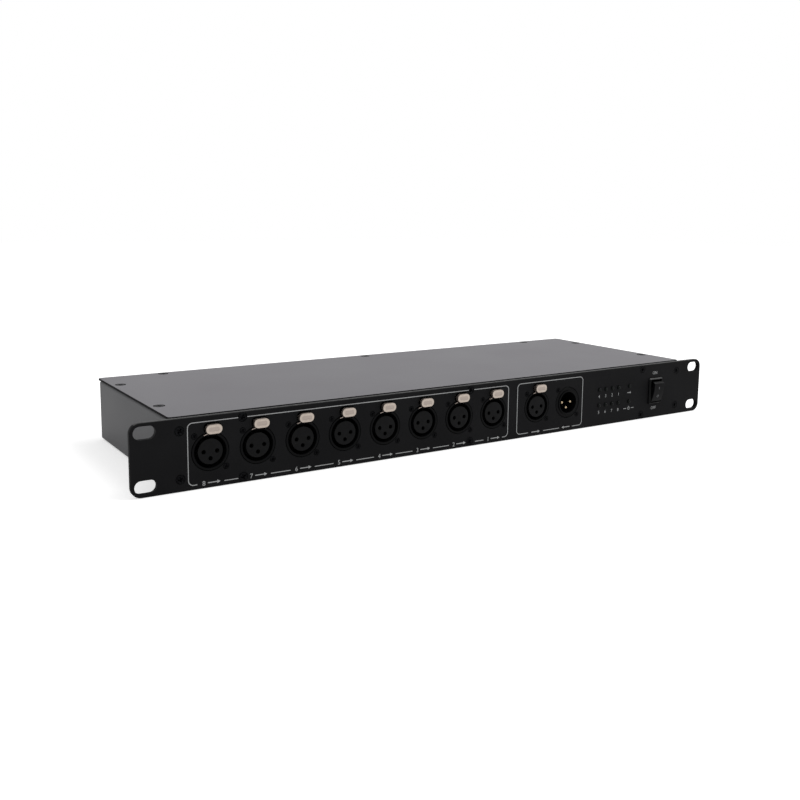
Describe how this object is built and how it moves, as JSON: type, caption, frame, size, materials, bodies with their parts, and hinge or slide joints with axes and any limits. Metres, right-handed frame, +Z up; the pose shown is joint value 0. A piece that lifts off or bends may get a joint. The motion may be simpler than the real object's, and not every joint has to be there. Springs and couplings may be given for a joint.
{
  "type": "dmx splitter",
  "caption": "Rack-mount lighting-data splitter: flat eared panel with a row of latching round sockets, indicator lamps and a rocker switch, on a shallow folded case with a mains inlet.",
  "frame": {"origin": "on the case's underside, below the middle of the panel's width, half of the case's depth (panel face to lid's rear edge) behind the panel's face", "axes": "+X to the right as seen from the front, +Y from the panel to the rear, +Z up"},
  "size_m": [0.4826, 0.1582, 0.0444],
  "materials": {
    "panel_paint": "matt black powder coat",
    "case_paint": "satin black powder coat",
    "socket_plastic": "fine-grained moulding",
    "latch_nickel": "satin nickel plating",
    "pin_gold": "gold plating",
    "board_laminate": "lacquered glass-fibre laminate",
    "switch_plastic": "semi-gloss moulding",
    "transformer_iron": "varnished iron core",
    "inlet_plastic": "smooth moulding",
    "screw_black": "black zinc plating"
  },
  "bodies": {
    "chassis": {"front_panel": "panel_paint", "chassis_tray": "case_paint", "lid": "case_paint", "output_8_shell": "socket_plastic", "output_8_insert": "socket_plastic", "output_7_shell": "socket_plastic", "output_7_insert": "socket_plastic", "output_6_shell": "socket_plastic", "output_6_insert": "socket_plastic", "output_5_shell": "socket_plastic", "output_5_insert": "socket_plastic", "output_4_shell": "socket_plastic", "output_4_insert": "socket_plastic", "output_3_shell": "socket_plastic", "output_3_insert": "socket_plastic", "output_2_shell": "socket_plastic", "output_2_insert": "socket_plastic", "output_1_shell": "socket_plastic", "output_1_insert": "socket_plastic", "through_shell": "socket_plastic", "through_insert": "socket_plastic", "input_shell": "socket_plastic", "input_pin_plate": "socket_plastic", "input_pin_1": "pin_gold", "input_pin_2": "pin_gold", "input_pin_3": "pin_gold", "lamp_board": "board_laminate", "switch_housing": "switch_plastic", "driver_board": "board_laminate", "power_board": "board_laminate", "transformer": "transformer_iron", "mains_inlet": "inlet_plastic", "panel_screw_1": "screw_black", "panel_screw_2": "screw_black", "panel_screw_3": "screw_black", "panel_screw_4": "screw_black", "panel_screw_5": "screw_black", "panel_screw_6": "screw_black", "panel_screw_7": "screw_black", "panel_screw_8": "screw_black", "panel_screw_9": "screw_black", "panel_screw_10": "screw_black", "lid_screw_1": "screw_black", "lid_screw_2": "screw_black", "lid_screw_3": "screw_black", "lid_screw_4": "screw_black", "lid_screw_5": "screw_black", "lid_screw_6": "screw_black", "lid_screw_7": "screw_black"},
    "output_8_button": {"output_8_latch": "latch_nickel"},
    "output_7_button": {"output_7_latch": "latch_nickel"},
    "output_6_button": {"output_6_latch": "latch_nickel"},
    "output_5_button": {"output_5_latch": "latch_nickel"},
    "output_4_button": {"output_4_latch": "latch_nickel"},
    "output_3_button": {"output_3_latch": "latch_nickel"},
    "output_2_button": {"output_2_latch": "latch_nickel"},
    "output_1_button": {"output_1_latch": "latch_nickel"},
    "through_button": {"through_latch": "latch_nickel"},
    "rocker": {"switch_rocker": "switch_plastic"}
  },
  "joints": [
    {"name": "output_8_press", "type": "slide", "parent": "chassis", "child": "output_8_button", "axis": [0, 1, 0], "range_m": [0, 0.002], "stiffness_N_per_m": 600, "springref_m": -0.001},
    {"name": "output_7_press", "type": "slide", "parent": "chassis", "child": "output_7_button", "axis": [0, 1, 0], "range_m": [0, 0.002], "stiffness_N_per_m": 600, "springref_m": -0.001},
    {"name": "output_6_press", "type": "slide", "parent": "chassis", "child": "output_6_button", "axis": [0, 1, 0], "range_m": [0, 0.002], "stiffness_N_per_m": 600, "springref_m": -0.001},
    {"name": "output_5_press", "type": "slide", "parent": "chassis", "child": "output_5_button", "axis": [0, 1, 0], "range_m": [0, 0.002], "stiffness_N_per_m": 600, "springref_m": -0.001},
    {"name": "output_4_press", "type": "slide", "parent": "chassis", "child": "output_4_button", "axis": [0, 1, 0], "range_m": [0, 0.002], "stiffness_N_per_m": 600, "springref_m": -0.001},
    {"name": "output_3_press", "type": "slide", "parent": "chassis", "child": "output_3_button", "axis": [0, 1, 0], "range_m": [0, 0.002], "stiffness_N_per_m": 600, "springref_m": -0.001},
    {"name": "output_2_press", "type": "slide", "parent": "chassis", "child": "output_2_button", "axis": [0, 1, 0], "range_m": [0, 0.002], "stiffness_N_per_m": 600, "springref_m": -0.001},
    {"name": "output_1_press", "type": "slide", "parent": "chassis", "child": "output_1_button", "axis": [0, 1, 0], "range_m": [0, 0.002], "stiffness_N_per_m": 600, "springref_m": -0.001},
    {"name": "through_press", "type": "slide", "parent": "chassis", "child": "through_button", "axis": [0, 1, 0], "range_m": [0, 0.002], "stiffness_N_per_m": 600, "springref_m": -0.001},
    {"name": "power_rock", "type": "hinge", "parent": "chassis", "child": "rocker", "pos_m": [0.187, -0.07485, 0.022], "axis": [-1, 0, 0], "range_deg": [0, 24]}
  ]
}
